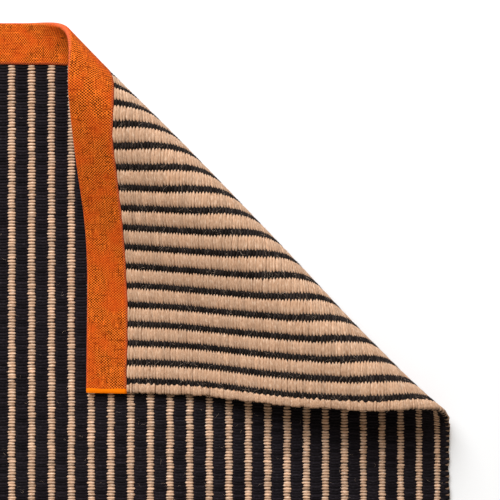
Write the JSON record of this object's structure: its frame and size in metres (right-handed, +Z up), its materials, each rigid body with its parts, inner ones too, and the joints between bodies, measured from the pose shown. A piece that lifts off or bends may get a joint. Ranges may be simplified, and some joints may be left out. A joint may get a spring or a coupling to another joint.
{
  "type": "folded jute rug",
  "caption": "Small flat-woven striped jute rug with a canvas binding on each end, lying on a floor with a corner folded over to show its back.",
  "frame": {"origin": "middle of the rug's rectangle on the floor it lies on, at the bottom of the bounding box", "axes": "+Z up from the floor, +Y along the rug's length towards the end whose corner is folded over, +X towards the folded corner's side"},
  "size_m": [0.5901, 0.9002, 0.0682],
  "materials": {
    "jute_weave": "matte woven yarn",
    "canvas_tape": "matte plain weave"
  },
  "bodies": {
    "root": {"rug_cloth": "jute_weave", "binding_head": "canvas_tape", "binding_foot": "canvas_tape"}
  },
  "joints": []
}
